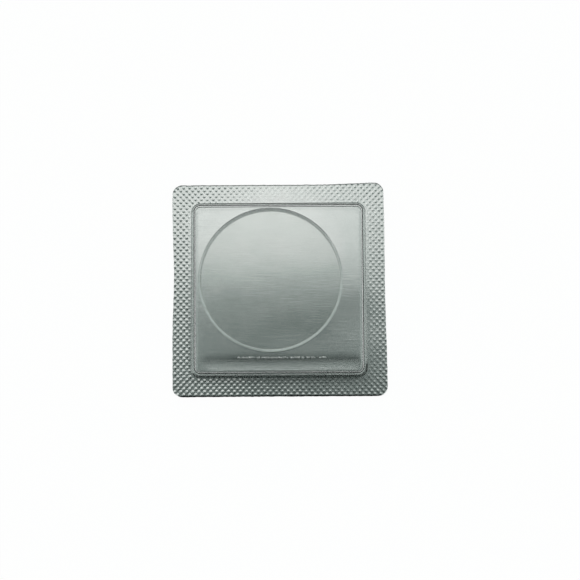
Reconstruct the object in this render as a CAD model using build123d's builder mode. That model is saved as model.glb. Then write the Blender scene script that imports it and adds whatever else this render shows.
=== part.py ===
from build123d import *

import os
from math import acos, atan2, ceil, cos, degrees, hypot, radians, sqrt, tan

# A flat watch crystal, loose in the pocket of its sealed square blister pack.
# Sizes are in millimetres. The pack lies on its foil, with +Z up, +X to its
# right and +Y to its back. The origin is the middle of the foil's underside.

# Flat round crystal, with a polished bevel on its upper edge
crystal_diameter = 30.60
crystal_thickness = 2.00
bevel_width = 0.45
bevel_depth = 0.45
arris_width = 0.15

# Room that the pocket leaves: side to side at the crystal's rim, and above it
pocket_play = 5.15
pocket_headroom = 1.43

# Where the crystal lies in the pocket, from its rim to the inner walls
crystal_left_gap = 0.85
crystal_back_gap = 0.44

# Layers of the pack, from the table up
foil_thickness = 0.10
lacquer_thickness = 0.03
sheet_thickness = 0.30

# Sealed flange round the pocket, and the diamond knurl that the seal tool presses into it
flange_width = 4.05
pack_corner_radius = 2.00
knurl_pitch = 0.89
knurl_depth = 0.12

# Outer face of the pocket in the clear sheet
pocket_corner_radius = 1.90
wall_draft_degrees = 12.0
shoulder_radius = 0.80
foot_radius = 0.35

# Front strip of the pocket's roof, pressed in along a straight crease
crease_to_foot = 3.70
crease_drop_degrees = 9.0

# What the moving pieces stay clear of the walls and the table by
stop_clearance = 0.15

# Heights worked out from the sizes above
seal_height = foil_thickness + lacquer_thickness
flange_top = seal_height + sheet_thickness
crystal_top = foil_thickness + crystal_thickness
rim_height = crystal_top - bevel_depth
roof_height = crystal_top + pocket_headroom + sheet_thickness
pocket_rise = roof_height - flange_top

# Half widths of the pocket, from its inner wall at the crystal's rim outwards
crystal_radius = crystal_diameter / 2
draft_share = tan(radians(wall_draft_degrees))
inner_wall_half = crystal_radius + pocket_play / 2
inner_foot_half = inner_wall_half + (rim_height - seal_height) * draft_share
wall_run = sheet_thickness / cos(radians(wall_draft_degrees))
foot_half = inner_foot_half + wall_run - sheet_thickness * draft_share
pack_side = 2 * (foot_half + flange_width)

# The sheet's underside flares at the pocket's foot, so the seal starts outside it
flare_radius = foot_radius + sheet_thickness
flare_run = flare_radius / tan(radians(90 + wall_draft_degrees) / 2)
seal_opening_half = inner_foot_half + flare_run
seal_corner_radius = pocket_corner_radius + seal_opening_half - foot_half

# The knurl starts where the fillet at the pocket's foot has run out
knurl_inner_half = foot_half + foot_radius
knurl_inner_radius = pocket_corner_radius + foot_radius

# Middle of the crystal, towards the pocket's back left corner
crystal_x = crystal_left_gap - pocket_play / 2
crystal_y = pocket_play / 2 - crystal_back_gap


def pocket_block(base_height, half_side, corner_radius, edge_radius, crease_y, crease_height):
    """The pocket as a solid block with drafted walls, a round shoulder and its pressed strip."""
    drop = (crease_y + half_side) * tan(radians(crease_drop_degrees))
    with BuildPart() as block:
        with BuildSketch(Plane.XY.offset(base_height)):
            RectangleRounded(2 * half_side, 2 * half_side, corner_radius)
        extrude(amount=pocket_rise, taper=wall_draft_degrees)
        fillet(block.faces().sort_by(Axis.Z)[-1].edges(), radius=edge_radius)
        with BuildSketch(Plane.YZ):
            with BuildLine():
                Polyline(
                    (crease_y, crease_height),
                    (-half_side, crease_height - drop),
                    (-half_side, crease_height + drop),
                    close=True,
                )
            make_face()
        extrude(amount=half_side, both=True, mode=Mode.SUBTRACT)
    return block.part


# The block that the pocket's outer face is made from, and the hollow inside it
outer_crease_y = crease_to_foot - foot_half
inner_crease_y = outer_crease_y + sheet_thickness * tan(radians(crease_drop_degrees) / 2)
pocket_outside = pocket_block(
    flange_top,
    foot_half,
    pocket_corner_radius,
    shoulder_radius,
    outer_crease_y,
    roof_height,
)
pocket_hollow = pocket_block(
    seal_height,
    inner_foot_half,
    pocket_corner_radius + inner_foot_half - foot_half,
    shoulder_radius - sheet_thickness,
    inner_crease_y,
    roof_height - sheet_thickness,
)


def saw_profile(reach):
    """Points of a saw with one ridge to a pitch, from the sealing face up to its crests."""
    ridges = 2 * ceil(reach / knurl_pitch)
    start = -ridges * knurl_pitch / 2
    groove_height = flange_top - knurl_depth
    points = [(start, seal_height)]
    for ridge in range(ridges):
        points.append((start + ridge * knurl_pitch, groove_height))
        points.append((start + ridge * knurl_pitch + knurl_pitch / 2, flange_top))
    return points + [(-start, groove_height), (-start, seal_height)]


# Knurled part of the flange: two saws cross at right angles and leave rows of pyramids
knurl_reach = pack_side / sqrt(2)
with BuildPart() as knurled_flange:
    with BuildSketch(Plane.XY.offset(seal_height)):
        RectangleRounded(pack_side, pack_side, pack_corner_radius)
        RectangleRounded(
            2 * knurl_inner_half,
            2 * knurl_inner_half,
            knurl_inner_radius,
            mode=Mode.SUBTRACT,
        )
    extrude(amount=sheet_thickness)
    for turn in (45, -45):
        with BuildSketch(Plane.XZ.rotated((0, 0, turn))):
            with BuildLine():
                Polyline(*saw_profile(knurl_reach), close=True)
            make_face()
        extrude(amount=knurl_reach, both=True, mode=Mode.INTERSECT)

# Clear shell: the drafted pocket stands on the flat land inside the knurled flange
with BuildPart() as blister_shell:
    with BuildSketch(Plane.XY.offset(seal_height)):
        RectangleRounded(2 * knurl_inner_half, 2 * knurl_inner_half, knurl_inner_radius)
    extrude(amount=sheet_thickness)
    add(pocket_outside)
    flange_face = blister_shell.faces().filter_by(Axis.Z).sort_by(Axis.Z)[1]
    fillet(flange_face.inner_wires()[0].edges(), radius=foot_radius)
    add(pocket_hollow, mode=Mode.SUBTRACT)
    seal_face = blister_shell.faces().sort_by(Axis.Z)[0]
    fillet(seal_face.inner_wires()[0].edges(), radius=flare_radius)
    add(knurled_flange)
blister_shell.part.label = "blister_shell"

# Backing foil: one flat sheet of aluminium laminate under the whole pack
with BuildPart() as backing_foil:
    with BuildSketch():
        RectangleRounded(pack_side, pack_side, pack_corner_radius)
    extrude(amount=foil_thickness)
backing_foil.part.label = "backing_foil"

# Seal lacquer: the frame of heat seal that bonds the shell's flange to the foil
with BuildPart() as seal_lacquer:
    with BuildSketch(Plane.XY.offset(foil_thickness)):
        RectangleRounded(pack_side, pack_side, pack_corner_radius)
        RectangleRounded(
            2 * seal_opening_half,
            2 * seal_opening_half,
            seal_corner_radius,
            mode=Mode.SUBTRACT,
        )
    extrude(amount=lacquer_thickness)
seal_lacquer.part.label = "seal_lacquer"

# Crystal: a flat glass disc, bevelled above and with a fine arris below
with BuildPart() as crystal:
    with BuildSketch(Plane((crystal_x, crystal_y, foil_thickness))):
        Circle(crystal_radius)
    extrude(amount=crystal_thickness)
    top_face = crystal.faces().sort_by(Axis.Z)[-1]
    chamfer(top_face.edges(), length=bevel_width, length2=bevel_depth, reference=top_face)
    chamfer(crystal.faces().sort_by(Axis.Z)[0].edges(), length=arris_width)
crystal.part.label = "crystal"

os.makedirs("parts", exist_ok=True)
for piece in (crystal, blister_shell, backing_foil, seal_lacquer):
    export_step(piece.part, f"parts/{piece.part.label}.step")

# The crystal slides corner to corner, until its rim is nearly at a wall
forward_step = min(pocket_play - crystal_left_gap, pocket_play - crystal_back_gap)
backward_step = min(crystal_left_gap, crystal_back_gap)
print("crystal at", crystal_x, crystal_y)
print("slides forward", sqrt(2) * (forward_step - stop_clearance))
print("slides back", sqrt(2) * (backward_step - stop_clearance))

# The shell turns on its flange's upper back edge, until its shoulder is nearly at the table
shoulder_back = flange_width + pocket_rise * draft_share
shoulder_reach = hypot(shoulder_back, pocket_rise)
shoulder_angle = atan2(shoulder_back, pocket_rise)
peel_limit = shoulder_angle + acos((stop_clearance - flange_top) / shoulder_reach)
print("peel pivot at", pack_side / 2, flange_top, "opens to", degrees(peel_limit))
print("pack side", pack_side, "height", roof_height)
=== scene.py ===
import random
from math import cos, floor, hypot, pi, radians, sin, sqrt, tan

import bmesh
import bpy
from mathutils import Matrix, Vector


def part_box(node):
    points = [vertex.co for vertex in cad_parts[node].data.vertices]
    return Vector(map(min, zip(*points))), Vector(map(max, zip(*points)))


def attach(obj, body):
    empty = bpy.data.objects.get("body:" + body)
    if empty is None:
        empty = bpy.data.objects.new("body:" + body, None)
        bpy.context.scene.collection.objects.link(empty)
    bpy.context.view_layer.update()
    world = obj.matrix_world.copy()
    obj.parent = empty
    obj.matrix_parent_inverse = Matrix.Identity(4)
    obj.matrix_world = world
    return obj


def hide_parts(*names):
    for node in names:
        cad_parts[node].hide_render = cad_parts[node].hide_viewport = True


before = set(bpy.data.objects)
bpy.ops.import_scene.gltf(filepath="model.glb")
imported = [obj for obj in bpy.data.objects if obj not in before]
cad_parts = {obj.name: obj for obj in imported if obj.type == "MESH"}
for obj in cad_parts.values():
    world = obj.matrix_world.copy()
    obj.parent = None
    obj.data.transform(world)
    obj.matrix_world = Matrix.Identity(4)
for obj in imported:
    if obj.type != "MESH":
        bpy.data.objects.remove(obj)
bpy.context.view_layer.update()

# A flat watch crystal in its square blister pack. Everything is in metres, in the
# frame of the CAD: the pack lies on its foil, +Z up, +X right and +Y to its back.
MM = 0.001

# Places that the CAD gives
PACK_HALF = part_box("backing_foil")[1].x
FOIL_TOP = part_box("backing_foil")[1].z
SEAL_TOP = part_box("seal_lacquer")[1].z
ROOF_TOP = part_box("blister_shell")[1].z
CRYSTAL_LOW, CRYSTAL_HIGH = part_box("crystal")

# Sizes of the shell, as the CAD has them, and the bend and the seal's edge drawn on it
SHEET = 0.30 * MM
FLANGE_TOP = SEAL_TOP + SHEET
PACK_CORNER = 2.00 * MM
FOOT_HALF = PACK_HALF - 4.05 * MM
POCKET_CORNER = 1.90 * MM
DRAFT = radians(12)
FOOT_RADIUS = 0.35 * MM
SHOULDER_RADIUS = 0.80 * MM
CREASE_Y = 3.70 * MM - FOOT_HALF
CREASE_DROP = radians(9)
CREASE_BEND = 0.24 * MM
SEAL_HALF = FOOT_HALF + FOOT_RADIUS + 0.05 * MM

# The knurl that the seal tool presses: round dots in rows along both diagonals. They stray
# a little from their rows, fade beside the pocket and vary in height down to the lowest.
DOT_PITCH = 0.89 * MM
DOT_RADIUS = 0.40 * MM
DOT_HEIGHT = 0.055 * MM
DOT_STRAY = 0.03 * MM
DOT_FADE = 0.25 * MM
DOT_LOWEST = 0.75

# How strongly a light press tells on the innermost and on the outermost dots
PRESS_INNER = 2.0
PRESS_OUTER = 0.8

# How high the dots stand, as shares of the full height, anticlockwise from the middle of
# the right side: right, back right, back, back left, left, front left, front, front right
DOT_SHARES = (0.44, 0.56, 0.26, 0.76, 0.86, 1.00, 0.52, 0.42)

# The cut edge is a little out of true: axis, middle of the stretch, its reach and the
# shift. It is ragged too, by so much, with nicks of such a length, and so far in.
RIM_DRIFTS = (
    ("X", (-22.5 * MM, 3.0 * MM), 13 * MM, 0.30 * MM),
    ("X", (22.5 * MM, -22.5 * MM), 26 * MM, 0.34 * MM),
    ("X", (22.5 * MM, 22.5 * MM), 9 * MM, -0.14 * MM),
    ("Y", (22.5 * MM, 22.5 * MM), 15 * MM, 0.36 * MM),
)
RIM_RAGGED = 0.16 * MM
RIM_NICK = 0.9 * MM
RIM_BAND = 1.6 * MM

# Land of the flange between the dots, and how thick the layers under the sheet are drawn
LAND_TOP = FLANGE_TOP - DOT_HEIGHT
FOIL_LAND = 0.050 * MM
FOIL_SHEET = 0.045 * MM
LACQUER_LAND = 0.074 * MM
LACQUER_FILM = 0.020 * MM
LACQUER_HALF = FOOT_HALF + 0.28 * MM

# The foil lies a hair below the crystal, and its floor is a grid of such cells
FOIL_REST = FOIL_TOP - 0.008 * MM
FOIL_HALF = FOOT_HALF - 1.0 * MM
FOIL_CELL = 0.46 * MM

# Where the foil is rumpled: middle, length along X, depth and reach
FOIL_DENTS = (
    ((0.5 * MM, -15.5 * MM), 30 * MM, 0.034 * MM, 2.2 * MM),
    ((5.0 * MM, -9.5 * MM), 8 * MM, 0.017 * MM, 6.0 * MM),
    ((-11.5 * MM, -14.6 * MM), 4 * MM, 0.018 * MM, 2.5 * MM),
    ((17.0 * MM, -6.5 * MM), 2 * MM, 0.030 * MM, 7.5 * MM),
)

# Faint ripple of the pocket's roof: its height, its length and the still margin round it
RIPPLE_HEIGHT = 0.03 * MM
RIPPLE_LENGTH = 9 * MM
RIPPLE_MARGIN = 3 * MM

# The crystal's polished bevel and the fine arris below, as width and rise. Their edges are
# rounded where they turn by more degrees than the crease has.
CRYSTAL_BEVEL = (0.45 * MM, 0.45 * MM)
CRYSTAL_ARRIS = (0.15 * MM, 0.15 * MM)
CRYSTAL_ROUND = 0.05 * MM
CRYSTAL_CREASE = 6

# Rubbed stretches of the crease: where each starts and how long it is. Their flakes lie
# behind the crease, on the roof, and stray and curl a little.
SCUFF_RUNS = (
    (-8.7 * MM, 4.7 * MM), (-3.7 * MM, 5.6 * MM), (2.2 * MM, 3.1 * MM),
    (5.7 * MM, 1.9 * MM), (8.0 * MM, 1.9 * MM),
)
SCUFF_CELL = 0.10 * MM
SCUFF_WIDTH = 0.42 * MM
SCUFF_BACK = 0.36 * MM
SCUFF_LIFT = 0.03 * MM
SCUFF_CURL = 0.024 * MM
SCUFF_STRAY = 0.04 * MM
SCUFF_THICK = 0.008 * MM

# How large a share of the flakes is missing along the middle, and how much more at the sides
SCUFF_BARE = 0.15
SCUFF_BARER = 0.75

# How finely the shapes are divided
SIDE_PARTS = 56
CORNER_PARTS = 24
FOOT_PARTS = 5
SHOULDER_PARTS = 8
FLANGE_CUTS = 6
DOT_CUTS = 3
SCUFF_ROWS = 4
CRYSTAL_PARTS = 256

# Painted shade: the front wall's foot and the front edge are coloured dark, for the dark that
# a room casts there. Each pair says where that starts or ends: along Y, along X - Y, in Z,
# or from the middle.
PAINTED_SHADE_COLOUR = (0.04, 0.055, 0.05, 1)
PAINTED_SHADE_WALL = (-17.6 * MM, -17.2 * MM)
PAINTED_SHADE_CORNER = (33.2 * MM, 34.4 * MM)
PAINTED_SHADE_LOW = (LAND_TOP, LAND_TOP + 0.03 * MM)
PAINTED_SHADE_HIGH = (1.3 * MM, 2.1 * MM)
PAINTED_SHADE_FOOT = (FOOT_HALF + 0.30 * MM, FOOT_HALF + 0.45 * MM)
PAINTED_SHADE_EDGE = (0.20 * MM - PACK_HALF, 0.35 * MM - PACK_HALF)

# The fainter painted shadow on the flange before that wall: its strength, its reach in Y and in
# X
PAINTED_SHADOW_STRENGTH = 0.25
PAINTED_SHADOW_FRONT = (-FOOT_HALF - 1.9 * MM, -FOOT_HALF - 0.3 * MM)
PAINTED_SHADOW_BACK = (-FOOT_HALF - 0.1 * MM, -FOOT_HALF + 0.1 * MM)
PAINTED_SHADOW_SIDES = (15 * MM, 20 * MM)

# The crystal's rim is fainter at its back: how far it leans and how far it faces back
RIM_LEAN = (0.80, 0.95)
RIM_BACK = (-0.1, 0.5)
RIM_FAINT = 0.80

# The foil's streaks along X, their bump, and how much duller it is where it is pressed
STREAKS = (180, 7000, 180)
STREAK_BUMP = 0.35
STREAK_DEPTH = 0.004 * MM
PRESSED_DULL = 0.02
PRESSED_EDGE = (SEAL_HALF, SEAL_HALF + 0.3 * MM)

# The table, and its glow, of which the camera, glass and metal see such a share
TABLE_SIZE = 6
TABLE_DROP = 0.02 * MM
TABLE_GLOW = 1.085
TABLE_GLOW_SHARE = 0.85

# Steps of the room's light: from one value to another, between two places along an axis
ROOM_FRONT = (0.30, 0.0, -0.31, -0.24)
VIEWER_SHADE = (0.04, 0.25, 0.004, 0.042)
STRIP_DIP = (0.0, -0.10, 0.048, 0.064)
STRIP_FRONT = (0.0, 0.84, 0.080, 0.114)
STRIP_RIGHT = (1.0, 0.80, 0.012, 0.048)
ROOM_BACK = (0.0, -0.52, 0.32, 0.44)
SIDES_NEAR = (0.0, 0.22, 0.03, 0.07)
SIDES_FAR = (0.0, 0.78, 0.14, 0.34)
SIDE_LIGHT = 0.50
WALL_HEIGHT = (1.0, 0.0, 0.22, 0.55)
WALL_LIGHT = (0.25, 1.0, -0.6, -0.1)
SKY_DARK = (0.82, 1.0, 0.95, 1)
SKY_BRIGHT = (1.0, 1.0, 0.985, 1)

# The camera looks down on the pack, a little from its front
CAMERA_LENS = 90.9
CAMERA_DISTANCE = 0.31
CAMERA_TILT = radians(5)
CAMERA_TURN = radians(-0.37)
CAMERA_ASIDE = 2.2 * MM


# Modelling helpers

def begin(name):
    """A new empty piece at the origin, open for editing."""
    bpy.ops.object.select_all(action="DESELECT")
    piece = bpy.data.objects.new(name, bpy.data.meshes.new(name))
    bpy.context.collection.objects.link(piece)
    bpy.context.view_layer.objects.active = piece
    piece.select_set(True)
    bpy.ops.object.mode_set(mode="EDIT")
    return piece


def end(piece, angle=40):
    """Closes editing and smooths the piece where its faces meet at less than the angle."""
    bpy.ops.object.mode_set(mode="OBJECT")
    bpy.ops.object.shade_smooth_by_angle(angle=radians(angle))
    return piece


def open_mesh(mode="VERT"):
    """The mesh that is open for editing, with nothing selected."""
    bpy.context.tool_settings.mesh_select_mode = (mode == "VERT", mode == "EDGE", mode == "FACE")
    bpy.ops.mesh.select_all(action="DESELECT")
    return bmesh.from_edit_mesh(bpy.context.edit_object.data)


def pick(kind, test):
    """Selects the vertices, edges or faces of the open mesh that pass a test."""
    mesh = open_mesh(kind)
    for part in {"VERT": mesh.verts, "EDGE": mesh.edges, "FACE": mesh.faces}[kind]:
        if test(part):
            part.select_set(True)
    mesh.select_flush_mode()
    bmesh.update_edit_mesh(bpy.context.edit_object.data)


def outside(x, y, half, radius):
    """How far a point lies outside a rounded square, and negative inside it."""
    over_x, over_y = abs(x) - (half - radius), abs(y) - (half - radius)
    reach = Vector((max(over_x, 0), max(over_y, 0))).length
    return reach + min(max(over_x, over_y), 0) - radius


def on_loop(point, loop):
    """Whether a point is on a loop, which is a rounded square's half side, radius and height."""
    half, radius, height = loop
    return abs(point.z - height) < 1e-6 and abs(outside(point.x, point.y, half, radius)) < 2e-6


def add_loop(loop):
    """Adds the wire of one rounded square to the open piece, divided alike on every loop."""
    half, radius, height = loop
    straight = FOOT_HALF - POCKET_CORNER
    run_out = half - radius - straight > 1e-6
    bpy.context.tool_settings.mesh_select_mode = (False, True, False)
    bpy.ops.mesh.select_all(action="DESELECT")
    bpy.ops.mesh.primitive_plane_add(size=2 * half, location=(0, 0, height))
    bpy.ops.mesh.bevel(
        offset=radius, segments=CORNER_PARTS // 3 if run_out else CORNER_PARTS, affect="VERTICES"
    )
    bpy.ops.mesh.delete(type="ONLY_FACE")

    def wire(test):
        pick("EDGE", lambda e: test(e) and all(on_loop(v.co, loop) for v in e.verts))

    if run_out:
        for side in ((1, 0, 0), (-1, 0, 0), (0, 1, 0), (0, -1, 0)):
            wire(lambda e: e.calc_length() > straight)
            bpy.ops.mesh.bisect(plane_co=straight * Vector(side), plane_no=side)
        wire(lambda e: straight > e.calc_length() > 0.8 * (half - radius - straight))
        bpy.ops.mesh.subdivide(number_cuts=CORNER_PARTS // 3 - 1)
    wire(lambda e: e.calc_length() > straight)
    bpy.ops.mesh.subdivide(number_cuts=SIDE_PARTS - 1)


def bridge(first, second, cuts=0):
    """Skins the open piece between two loops that are already there, one side at a time."""
    for side in (Vector((1, 0)), Vector((0, 1)), Vector((-1, 0)), Vector((0, -1))):
        along = Vector((side.y, -side.x))

        def on_side(edge):
            middle = (edge.verts[0].co + edge.verts[1].co).xy
            return abs(middle.dot(along)) < middle.dot(side)

        pick("EDGE", lambda e: on_side(e) and (
            all(on_loop(v.co, first) for v in e.verts)
            or all(on_loop(v.co, second) for v in e.verts)
        ))
        bpy.ops.mesh.bridge_edge_loops(number_cuts=cuts, interpolation="LINEAR")


def skin(loops, cuts=None):
    """Lays a skin over a row of rounded squares, with extra rings where cuts says."""
    for loop in loops:
        add_loop(loop)
    for step, (first, second) in enumerate(zip(loops, loops[1:])):
        bridge(first, second, (cuts or {}).get(step, 0))


def floor_over(loop):
    """Closes the middle of a loop with a grid whose corners are the middles of the arcs."""
    pick("EDGE", lambda e: all(on_loop(v.co, loop) for v in e.verts))
    mesh = bmesh.from_edit_mesh(bpy.context.edit_object.data)
    corner = max((v for v in mesh.verts if v.select), key=lambda v: v.co.x + v.co.y)
    mesh.select_history.add(corner)
    bpy.ops.mesh.fill_grid(span=SIDE_PARTS + CORNER_PARTS)


def divide_flange():
    """Divides the faces that are to be knurled more finely than the rest."""
    pick("FACE", lambda f: outside(
        f.calc_center_median().x, f.calc_center_median().y, SEAL_HALF, pocket_radius(SEAL_HALF)
    ) > 0)
    bpy.ops.mesh.subdivide(number_cuts=DOT_CUTS)


def weld():
    """Joins the open skin along its seams, and turns its faces so that they point up and out."""
    bpy.ops.mesh.select_all(action="SELECT")
    bpy.ops.mesh.remove_doubles(threshold=1e-7)
    bpy.ops.mesh.select_all(action="SELECT")
    bpy.ops.mesh.normals_make_consistent(inside=False)
    mesh = bmesh.from_edit_mesh(bpy.context.edit_object.data)
    if sum(face.normal.z * face.calc_area() for face in mesh.faces) < 0:
        bpy.ops.mesh.flip_normals()


def weigh(piece, name, share):
    """A vertex group whose weights come from each vertex's place."""
    group = piece.vertex_groups.new(name=name)
    for vertex in piece.data.vertices:
        weight = share(vertex.co)
        if weight > 0:
            group.add([vertex.index], weight, "REPLACE")
    return group.name


def work(piece, kind, **settings):
    """Adds a modifier with its settings and applies it."""
    modifier = piece.modifiers.new(kind.lower(), kind)
    for name, value in settings.items():
        setattr(modifier, name, value)
    bpy.context.view_layer.objects.active = piece
    bpy.ops.object.modifier_apply(modifier=modifier.name)


# The knurl

DOT_DICE = random.Random(5)
DOT_ROWS = range(-40, 41)
RAGGED = bpy.data.textures.new("ragged", "CLOUDS")
RAGGED.noise_scale = RIM_NICK
DOTS = {
    (i, j): (DOT_DICE.uniform(-1, 1), DOT_DICE.uniform(-1, 1), DOT_DICE.uniform(DOT_LOWEST, 1))
    for i in DOT_ROWS for j in DOT_ROWS
}


def smooth(share):
    """A share from nothing to one, eased at both ends."""
    share = max(0, min(1, share))
    return share * share * (3 - 2 * share)


def dot_share(x, y):
    """How hard the tool pressed round the flange, from the shares of its eight places."""
    angle = (Vector((x, y)).angle_signed(Vector((1, 0))) % (2 * pi)) / (pi / 4)
    step, part = int(angle) % 8, smooth(angle - int(angle))
    return DOT_SHARES[step] * (1 - part) + DOT_SHARES[(step + 1) % 8] * part


def dot_height(point):
    """Height of the knurl at a point of the flange, as a share of a full dot."""
    inner = outside(point.x, point.y, SEAL_HALF, pocket_radius(SEAL_HALF))
    if inner <= 0:
        return 0
    i = floor((point.x + point.y) / sqrt(2) / DOT_PITCH)
    j = floor((point.y - point.x) / sqrt(2) / DOT_PITCH)
    nudge_i, nudge_j, height = DOTS[i, j]
    away = hypot(
        (point.x + point.y) / sqrt(2) - (i + 0.5) * DOT_PITCH - nudge_i * DOT_STRAY,
        (point.y - point.x) / sqrt(2) - (j + 0.5) * DOT_PITCH - nudge_j * DOT_STRAY,
    )
    dome = smooth(1 - away / DOT_RADIUS)

    # Where the tool pressed lightly, it pressed the outer rows better than the inner ones
    outward = min(1, inner / (PACK_HALF - SEAL_HALF))
    power = PRESS_INNER + (PRESS_OUTER - PRESS_INNER) * outward
    pressed = dot_share(point.x, point.y) ** power
    return dome * height * pressed * min(1, inner / DOT_FADE)


def at_rim(point):
    """One at the pack's cut edge, fading to nothing a little way in."""
    return smooth(1 + outside(point.x, point.y, PACK_HALF, PACK_CORNER) / RIM_BAND)


def trim_rim(piece):
    """Draws the cut edge in and out as the pack's trimming knife left it."""
    for axis, middle, reach, shift in RIM_DRIFTS:
        group = weigh(piece, "drift", lambda p: (
            at_rim(p) * smooth(1 - (p.xy - Vector(middle)).length / reach)
        ))
        work(
            piece, "DISPLACE", direction=axis, mid_level=0.0, strength=shift, vertex_group=group
        )
    group = weigh(piece, "ragged", at_rim)
    for axis in "XY":
        work(
            piece, "DISPLACE", texture=RAGGED, texture_coords="LOCAL", direction=axis,
            mid_level=0.5, strength=RIM_RAGGED, vertex_group=group,
        )


def press_knurl(piece):
    """Raises the dots all through a piece's flange."""
    work(
        piece, "DISPLACE", direction="Z", mid_level=0.0, strength=DOT_HEIGHT,
        vertex_group=weigh(piece, "dots", dot_height),
    )


# Pieces

def pocket_radius(half):
    """Corner radius of a rounded square that runs alongside the pocket's foot."""
    return POCKET_CORNER + half - FOOT_HALF


def arc_loops(half, height, radius, first, last, parts):
    """Loops round the pocket along an arc, given by its middle and its two angles."""
    loops = []
    for step in range(parts + 1):
        angle = first + (last - first) * step / parts
        reach = half + radius * cos(angle)
        loops.append((reach, pocket_radius(reach), height + radius * sin(angle)))
    return loops


def make_shell():
    """Clear thermoformed sheet: knurled flange, drafted pocket and the pressed front strip."""
    shell = begin("shell")
    foot_middle = FOOT_HALF + FOOT_RADIUS * tan((pi / 2 - DRAFT) / 2)
    foot = arc_loops(
        foot_middle, LAND_TOP + FOOT_RADIUS, FOOT_RADIUS, 1.5 * pi, pi + DRAFT, FOOT_PARTS
    )
    shoulder_height = ROOF_TOP - SHOULDER_RADIUS
    shoulder_middle = (
        FOOT_HALF - (shoulder_height - FLANGE_TOP) * tan(DRAFT) - SHOULDER_RADIUS / cos(DRAFT)
    )
    shoulder = arc_loops(
        shoulder_middle, shoulder_height, SHOULDER_RADIUS, DRAFT, pi / 2, SHOULDER_PARTS
    )
    roof_edge = shoulder[-1]
    loops = [
        (PACK_HALF, PACK_CORNER, LAND_TOP),
        (SEAL_HALF, pocket_radius(SEAL_HALF), LAND_TOP),
        *foot,
        *shoulder,
    ]
    skin(loops, {0: FLANGE_CUTS})
    floor_over(roof_edge)
    divide_flange()
    weld()

    # The front strip is pressed down along its crease, with a tight bend between two cuts
    for y in (CREASE_Y - CREASE_BEND / 2, CREASE_Y + CREASE_BEND / 2):
        pick("FACE", lambda f: f.calc_center_median().z > shoulder_height)
        bpy.ops.mesh.bisect(plane_co=(0, y, 0), plane_no=(0, 1, 0))
    pick("VERT", lambda v: v.co.y < CREASE_Y and v.co.z > shoulder_height - 1e-6)
    bpy.ops.transform.rotate(
        value=-CREASE_DROP, orient_axis="X", center_override=(0, CREASE_Y, ROOF_TOP)
    )
    end(shell)
    work(shell, "SOLIDIFY", thickness=SHEET, offset=-1, use_even_offset=True)
    trim_rim(shell)
    press_knurl(shell)

    def on_roof(point):
        """One over the roof, fading to nothing at its edge."""
        inward = -outside(point.x, point.y, roof_edge[0], MM) / RIPPLE_MARGIN
        return 0 if point.z < ROOF_TOP - MM else max(0, min(1, inward))

    ripple = bpy.data.textures.new("roof_ripple", "CLOUDS")
    ripple.noise_scale = RIPPLE_LENGTH
    work(
        shell, "DISPLACE", texture=ripple, texture_coords="LOCAL", direction="Z",
        mid_level=0.5, strength=RIPPLE_HEIGHT, vertex_group=weigh(shell, "roof", on_roof),
    )
    return shell


def press_in(middle, length, depth, reach):
    """Pushes a row of the floor's vertices down, and their surroundings with them."""
    pick("VERT", lambda v: (
        abs(v.co.x - middle[0]) < length / 2 + FOIL_CELL / 2
        and abs(v.co.y - middle[1]) < FOIL_CELL / 2
    ))
    bpy.ops.transform.translate(
        value=(0, 0, -depth), use_proportional_edit=True,
        proportional_edit_falloff="SMOOTH", proportional_size=reach,
    )


def make_foil():
    """Aluminium laminate: knurled with the flange, and gently rumpled under the pocket."""
    foil = begin("foil")
    loops = [
        (PACK_HALF, PACK_CORNER, FOIL_LAND),
        (SEAL_HALF, pocket_radius(SEAL_HALF), FOIL_LAND),
        (FOIL_HALF, pocket_radius(FOIL_HALF), FOIL_REST),
    ]
    skin(loops, {0: FLANGE_CUTS})
    floor_over(loops[-1])
    divide_flange()
    weld()
    for dent in FOIL_DENTS:
        press_in(*dent)
    end(foil)
    work(foil, "SOLIDIFY", thickness=FOIL_SHEET, offset=-1, use_even_offset=False)

    # The deepest dents rest on the table
    for vertex in foil.data.vertices:
        vertex.co.z = max(vertex.co.z, 0)
    trim_rim(foil)
    press_knurl(foil)
    return foil


def make_lacquer():
    """Frame of heat-seal lacquer between the flange and the foil."""
    lacquer = begin("lacquer")
    loops = [
        (PACK_HALF, PACK_CORNER, LACQUER_LAND),
        (SEAL_HALF, pocket_radius(SEAL_HALF), LACQUER_LAND),
        (LACQUER_HALF, pocket_radius(LACQUER_HALF), LACQUER_LAND),
    ]
    skin(loops, {0: FLANGE_CUTS})
    divide_flange()
    weld()
    end(lacquer)
    work(lacquer, "SOLIDIFY", thickness=LACQUER_FILM, offset=-1, use_even_offset=False)
    trim_rim(lacquer)
    press_knurl(lacquer)
    return lacquer


def bevel_cap(height, up, width, rise):
    """Bevels a round cap's edge: the cap is inset by a width and then moved out by a rise."""
    pick("FACE", lambda f: (
        f.normal.z * up > 0.9 and abs(f.calc_center_median().z - height) < 1e-6
    ))
    bpy.ops.mesh.inset(thickness=width, depth=0)
    bpy.ops.transform.translate(value=(0, 0, up * rise))


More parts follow.
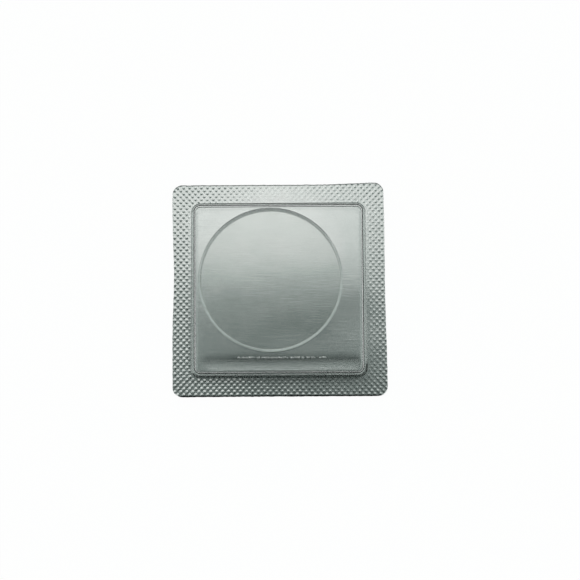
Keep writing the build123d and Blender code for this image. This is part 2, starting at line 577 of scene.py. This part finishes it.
def make_crystal():
    """Flat mineral glass, with a polished bevel above and a fine arris below."""
    crystal = begin("crystal_glass")
    middle = (CRYSTAL_LOW + CRYSTAL_HIGH) / 2
    radius = (CRYSTAL_HIGH.x - CRYSTAL_LOW.x) / 2
    low = CRYSTAL_LOW.z + CRYSTAL_ARRIS[1]
    high = CRYSTAL_HIGH.z - CRYSTAL_BEVEL[1]
    bpy.ops.mesh.primitive_cylinder_add(
        vertices=CRYSTAL_PARTS, radius=radius, depth=high - low, end_fill_type="NGON",
        location=(middle.x, middle.y, (low + high) / 2),
    )
    bevel_cap(high, 1, *CRYSTAL_BEVEL)
    bevel_cap(low, -1, *CRYSTAL_ARRIS)
    end(crystal, CRYSTAL_CREASE)
    work(
        crystal, "BEVEL", width=CRYSTAL_ROUND, segments=3, limit_method="ANGLE",
        angle_limit=radians(CRYSTAL_CREASE),
    )
    bpy.ops.object.shade_smooth_by_angle(angle=radians(CRYSTAL_CREASE))
    return crystal


def make_scuffs():
    """Stress-whitened flakes where the front strip's crease has been rubbed."""
    scuffs = begin("crease_scuffs")
    dice = random.Random(7)
    middle = CREASE_Y + SCUFF_BACK
    for start, length in SCUFF_RUNS:
        bpy.ops.mesh.select_all(action="DESELECT")
        bpy.ops.mesh.primitive_grid_add(
            x_subdivisions=int(length / SCUFF_CELL), y_subdivisions=SCUFF_ROWS, size=1,
            location=(start + length / 2, middle, ROOF_TOP + SCUFF_LIFT),
        )
        bpy.ops.transform.resize(value=(length, SCUFF_WIDTH, 1))
    mesh = open_mesh("FACE")
    for face in mesh.faces:
        out = abs(face.calc_center_median().y - middle) / (SCUFF_WIDTH / 2)
        face.select_set(dice.random() < SCUFF_BARE + SCUFF_BARER * out)
    mesh.select_flush_mode()
    bmesh.update_edit_mesh(bpy.context.edit_object.data)
    bpy.ops.mesh.delete(type="FACE")
    open_mesh("VERT")
    bpy.ops.mesh.select_non_manifold(
        extend=False, use_wire=False, use_boundary=False, use_multi_face=False,
        use_non_contiguous=False, use_verts=True,
    )
    bpy.ops.mesh.edge_split(type="VERT")
    mesh = open_mesh("VERT")
    for vertex in mesh.verts:
        vertex.co += Vector((
            dice.uniform(-1, 1) * SCUFF_STRAY,
            dice.uniform(-1, 1) * SCUFF_STRAY,
            dice.uniform(-1, 1) * SCUFF_CURL,
        ))
    bmesh.update_edit_mesh(bpy.context.edit_object.data)
    end(scuffs)
    work(scuffs, "SOLIDIFY", thickness=SCUFF_THICK, offset=0)
    return scuffs


# Finishes

def finish_nodes(name):
    """A new material with its Principled shader and object coordinates."""
    material = bpy.data.materials.new(name)
    material.use_nodes = True
    nodes, links = material.node_tree.nodes, material.node_tree.links
    shader = nodes["Principled BSDF"]
    where = nodes.new("ShaderNodeTexCoord")
    return material, nodes, links, shader, where.outputs["Object"]


def put_in(piece, material):
    """Makes a material the only one of a piece."""
    piece.data.materials.clear()
    piece.data.materials.append(material)


def spread(nodes, links, value, low, high, low_in=0.0, high_in=1.0, kind="LINEAR"):
    """A value spread between two others, evenly or eased at both ends."""
    span = nodes.new("ShaderNodeMapRange")
    span.interpolation_type = kind
    for socket, number in (
        ("From Min", low_in), ("From Max", high_in), ("To Min", low), ("To Max", high),
    ):
        span.inputs[socket].default_value = number
    links.new(value, span.inputs["Value"])
    return span.outputs["Result"]


def join(nodes, links, operation, first, second):
    """Two values brought together by a mathematical operation."""
    node = nodes.new("ShaderNodeMath")
    node.operation = operation
    links.new(first, node.inputs[0])
    links.new(second, node.inputs[1])
    return node.outputs[0]


def size_of(nodes, links, value):
    """A value without its sign."""
    node = nodes.new("ShaderNodeMath")
    node.operation = "ABSOLUTE"
    links.new(value, node.inputs[0])
    return node.outputs[0]


def axes_of(nodes, links, vector):
    """A vector's three parts."""
    parts = nodes.new("ShaderNodeSeparateXYZ")
    links.new(vector, parts.inputs["Vector"])
    return parts.outputs


def mottle_group():
    """Soft mottling that every finish shares: a colour, a value and their mask."""
    group = bpy.data.node_groups.new("mottle", "ShaderNodeTree")
    for side, sockets in (
        ("INPUT", (
            ("Place", "Vector"), ("Scale", "Float"), ("Stretch", "Vector"), ("Detail", "Float"),
            ("Dark", "Color"), ("Light", "Color"), ("Low", "Float"), ("High", "Float"),
        )),
        ("OUTPUT", (("Colour", "Color"), ("Value", "Float"), ("Mask", "Float"))),
    ):
        for name, kind in sockets:
            group.interface.new_socket(name=name, in_out=side, socket_type="NodeSocket" + kind)
    nodes, links = group.nodes, group.links
    given, given_back = nodes.new("NodeGroupInput"), nodes.new("NodeGroupOutput")
    place = nodes.new("ShaderNodeMapping")
    links.new(given.outputs["Place"], place.inputs["Vector"])
    links.new(given.outputs["Stretch"], place.inputs["Scale"])
    cloud = nodes.new("ShaderNodeTexNoise")
    links.new(place.outputs["Vector"], cloud.inputs["Vector"])
    links.new(given.outputs["Scale"], cloud.inputs["Scale"])
    links.new(given.outputs["Detail"], cloud.inputs["Detail"])
    mask = spread(nodes, links, cloud.outputs["Fac"], 0, 1, 0.33, 0.67)
    mix = nodes.new("ShaderNodeMix")
    mix.data_type = "RGBA"
    links.new(mask, mix.inputs["Factor"])
    links.new(given.outputs["Dark"], mix.inputs["A"])
    links.new(given.outputs["Light"], mix.inputs["B"])
    value = nodes.new("ShaderNodeMapRange")
    links.new(mask, value.inputs["Value"])
    links.new(given.outputs["Low"], value.inputs["To Min"])
    links.new(given.outputs["High"], value.inputs["To Max"])
    links.new(mix.outputs["Result"], given_back.inputs["Colour"])
    links.new(value.outputs["Result"], given_back.inputs["Value"])
    links.new(mask, given_back.inputs["Mask"])
    return group


MOTTLE = mottle_group()


def mottle(nodes, links, where, scale, stretch=(1, 1, 1), detail=4, colours=None, values=(0, 1)):
    """Places the shared mottling in one finish with its own values."""
    node = nodes.new("ShaderNodeGroup")
    node.node_tree = MOTTLE
    links.new(where, node.inputs["Place"])
    node.inputs["Scale"].default_value = scale
    node.inputs["Stretch"].default_value = stretch
    node.inputs["Detail"].default_value = detail
    for socket, colour in zip(("Dark", "Light"), colours or ()):
        node.inputs[socket].default_value = (*colour, 1)
    node.inputs["Low"].default_value, node.inputs["High"].default_value = values
    return node.outputs


def foil_finish():
    """Satin rolled aluminium, streaked along the way it was rolled."""
    material, nodes, links, shader, where = finish_nodes("satin_foil")
    shader.inputs["Metallic"].default_value = 1.0
    streaks = mottle(nodes, links, where, 1, STREAKS, values=(0.09, 0.13))
    clouds = mottle(
        nodes, links, where, 90, colours=((0.80, 0.825, 0.815), (0.85, 0.868, 0.858))
    )
    links.new(clouds["Colour"], shader.inputs["Base Color"])
    x, y, _ = axes_of(nodes, links, where)
    reach = join(nodes, links, "MAXIMUM", size_of(nodes, links, x), size_of(nodes, links, y))
    pressed = spread(nodes, links, reach, 0, PRESSED_DULL, *PRESSED_EDGE)
    duller = join(nodes, links, "ADD", streaks["Value"], pressed)
    links.new(duller, shader.inputs["Roughness"])
    bump = nodes.new("ShaderNodeBump")
    bump.inputs["Strength"].default_value = STREAK_BUMP
    bump.inputs["Distance"].default_value = STREAK_DEPTH
    links.new(streaks["Mask"], bump.inputs["Height"])
    links.new(bump.outputs["Normal"], shader.inputs["Normal"])
    return material


def shell_finish():
    """Clear glossy sheet with a faint haze, painted shade at its front foot and front edge, and
    a fainter painted shadow before that foot.
    """
    material, nodes, links, shader, where = finish_nodes("clear_sheet_finish")
    shader.inputs["Transmission Weight"].default_value = 1.0
    shader.inputs["IOR"].default_value = 1.50
    haze = mottle(
        nodes, links, where, 400, detail=5,
        colours=((0.975, 0.985, 0.98), (0.99, 0.995, 0.992)), values=(0.015, 0.05),
    )
    links.new(haze["Value"], shader.inputs["Roughness"])

    def rises(value, places, top=1):
        return spread(nodes, links, value, 0, top, *places)

    def falls(value, places):
        return spread(nodes, links, value, 1, 0, *places)

    def all_of(first, *others):
        for other in others:
            first = join(nodes, links, "MULTIPLY", first, other)
        return first

    def any_of(first, *others):
        for other in others:
            first = join(nodes, links, "MAXIMUM", first, other)
        return first

    # The painted shade at the foot goes round the front right corner too
    x, y, z = axes_of(nodes, links, where)
    aside = size_of(nodes, links, x)
    reach = any_of(aside, size_of(nodes, links, y))
    sideways = join(nodes, links, "SUBTRACT", x, y)
    front = any_of(falls(y, PAINTED_SHADE_WALL), rises(sideways, PAINTED_SHADE_CORNER))
    foot = all_of(rises(z, PAINTED_SHADE_LOW), falls(z, PAINTED_SHADE_HIGH), front, falls(reach, PAINTED_SHADE_FOOT))
    # A fainter painted shadow on the flange just before the front foot
    painted_shadow_mask = all_of(rises(y, PAINTED_SHADOW_FRONT, PAINTED_SHADOW_STRENGTH), falls(y, PAINTED_SHADOW_BACK), falls(aside, PAINTED_SHADOW_SIDES))
    # Painted shade: the foot, the front edge and the flange before the foot are mixed towards a
    # dark colour
    painted_shade_mask = any_of(foot, falls(y, PAINTED_SHADE_EDGE), painted_shadow_mask)
    painted_shade_mix = nodes.new("ShaderNodeMix")
    painted_shade_mix.data_type = "RGBA"
    links.new(painted_shade_mask, painted_shade_mix.inputs["Factor"])
    links.new(haze["Colour"], painted_shade_mix.inputs["A"])
    painted_shade_mix.inputs["B"].default_value = PAINTED_SHADE_COLOUR
    links.new(painted_shade_mix.outputs["Result"], shader.inputs["Base Color"])
    return material


def lacquer_finish():
    """Thin clear lacquer, slightly milky where it has fused."""
    material, nodes, links, shader, where = finish_nodes("seal_lacquer_finish")
    milk = mottle(
        nodes, links, where, 700,
        colours=((0.80, 0.83, 0.815), (0.88, 0.90, 0.89)), values=(0.0, 0.02),
    )
    links.new(milk["Colour"], shader.inputs["Base Color"])
    links.new(milk["Value"], shader.inputs["Alpha"])
    shader.inputs["Roughness"].default_value = 0.4
    return material


def crystal_finish():
    """Polished mineral glass, with the faintest trace of wiping."""
    material, nodes, links, shader, where = finish_nodes("polished_mineral_glass")
    shader.inputs["Transmission Weight"].default_value = 1.0
    shader.inputs["IOR"].default_value = 1.52
    wipe = mottle(
        nodes, links, where, 300, (1, 3, 1),
        colours=((0.975, 0.988, 0.98), (0.985, 0.995, 0.988)), values=(0.0, 0.02),
    )
    links.new(wipe["Colour"], shader.inputs["Base Color"])
    links.new(wipe["Value"], shader.inputs["Roughness"])

    # The back of the rim is let through, where thick glass would show as a dark band
    normal = axes_of(nodes, links, nodes["Texture Coordinate"].outputs["Normal"])
    rim = spread(nodes, links, normal["Z"], 1, 0, *RIM_LEAN)
    back = spread(nodes, links, normal["Y"], 0, RIM_FAINT, *RIM_BACK)
    faint = join(nodes, links, "MULTIPLY", rim, back)
    links.new(spread(nodes, links, faint, 1, 0), shader.inputs["Alpha"])
    return material


def scuff_finish():
    """Chalky plastic that has whitened with bending."""
    material, nodes, links, shader, where = finish_nodes("whitened_plastic")
    chalk = mottle(
        nodes, links, where, 2500,
        colours=((0.78, 0.80, 0.79), (0.95, 0.96, 0.955)), values=(0.35, 1.0),
    )
    links.new(chalk["Colour"], shader.inputs["Base Color"])
    links.new(chalk["Value"], shader.inputs["Alpha"])
    shader.inputs["Roughness"].default_value = 0.6
    return material


# The pieces together

foil = make_foil()
lacquer = make_lacquer()
shell = make_shell()
crystal = make_crystal()
scuffs = make_scuffs()

put_in(foil, foil_finish())
put_in(lacquer, lacquer_finish())
put_in(shell, shell_finish())
put_in(crystal, crystal_finish())
put_in(scuffs, scuff_finish())

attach(foil, "backing")
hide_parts("backing_foil")
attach(lacquer, "backing")
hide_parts("seal_lacquer")
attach(shell, "shell")
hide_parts("blister_shell")
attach(crystal, "glass")
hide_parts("crystal")
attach(scuffs, "shell")

# Floor, light and camera

def lay_table():
    """A white table that stays white wherever it is seen, but for the pack's shadow."""
    bpy.ops.object.select_all(action="DESELECT")
    bpy.ops.mesh.primitive_plane_add(size=TABLE_SIZE, location=(0, 0, -TABLE_DROP))
    table = bpy.context.object
    table.name = "table"
    material, nodes, links, shader, _ = finish_nodes("white_table")
    shader.inputs["Base Color"].default_value = (0.95, 0.95, 0.95, 1)
    shader.inputs["Roughness"].default_value = 1.0
    shader.inputs["Specular IOR Level"].default_value = 0.0
    glow = nodes.new("ShaderNodeEmission")
    glow.inputs["Strength"].default_value = TABLE_GLOW
    path = nodes.new("ShaderNodeLightPath")
    seen = path.outputs["Is Camera Ray"]
    for name in ("Is Glossy Ray", "Is Transmission Ray"):
        seen = join(nodes, links, "MAXIMUM", seen, path.outputs[name])
    both = nodes.new("ShaderNodeMixShader")
    links.new(spread(nodes, links, seen, 0, TABLE_GLOW_SHARE), both.inputs["Fac"])
    links.new(shader.outputs["BSDF"], both.inputs[1])
    links.new(glow.outputs["Emission"], both.inputs[2])
    links.new(both.outputs["Shader"], nodes["Material Output"].inputs["Surface"])
    put_in(table, material)


def studio_light():
    """A white room whose ceiling goes from shade over the viewer to bright at the back."""
    world = bpy.data.worlds.new("studio")
    bpy.context.scene.world = world
    world.use_nodes = True
    nodes, links = world.node_tree.nodes, world.node_tree.links
    where = nodes.new("ShaderNodeTexCoord")
    x, y, z = axes_of(nodes, links, where.outputs["Generated"])
    aside = size_of(nodes, links, x)

    def ramp(value, step):
        return spread(nodes, links, value, *step, kind="SMOOTHSTEP")

    def sum_of(first, *others):
        for other in others:
            first = join(nodes, links, "ADD", first, other)
        return first

    # The ceiling from front to back: the room, the viewer's shade, a lit strip, and the room
    strip = join(nodes, links, "MULTIPLY", ramp(y, STRIP_FRONT), ramp(x, STRIP_RIGHT))
    ceiling = sum_of(
        ramp(y, ROOM_FRONT), ramp(y, VIEWER_SHADE), ramp(y, STRIP_DIP), strip, ramp(y, ROOM_BACK)
    )
    beside = nodes.new("ShaderNodeMix")
    links.new(sum_of(ramp(aside, SIDES_NEAR), ramp(aside, SIDES_FAR)), beside.inputs["Factor"])
    links.new(ceiling, beside.inputs["A"])
    beside.inputs["B"].default_value = SIDE_LIGHT
    mix = nodes.new("ShaderNodeMix")
    links.new(ramp(z, WALL_HEIGHT), mix.inputs["Factor"])
    links.new(beside.outputs["Result"], mix.inputs["A"])
    links.new(ramp(y, WALL_LIGHT), mix.inputs["B"])
    tint = nodes.new("ShaderNodeMix")
    tint.data_type = "RGBA"
    links.new(mix.outputs["Result"], tint.inputs["Factor"])
    tint.inputs["A"].default_value = SKY_DARK
    tint.inputs["B"].default_value = SKY_BRIGHT
    links.new(tint.outputs["Result"], nodes["Background"].inputs["Color"])
    links.new(mix.outputs["Result"], nodes["Background"].inputs["Strength"])


lay_table()
studio_light()

camera = bpy.data.objects.new("camera", bpy.data.cameras.new("camera"))
bpy.context.collection.objects.link(camera)
camera.data.lens = CAMERA_LENS
camera.data.sensor_width = 36
camera.data.clip_start = 0.01
camera.location = (
    CAMERA_ASIDE,
    -CAMERA_DISTANCE * sin(CAMERA_TILT),
    FLANGE_TOP + CAMERA_DISTANCE * cos(CAMERA_TILT),
)
camera.rotation_euler = (CAMERA_TILT, 0, CAMERA_TURN)
bpy.context.scene.camera = camera
bpy.context.scene.view_settings.view_transform = "Standard"
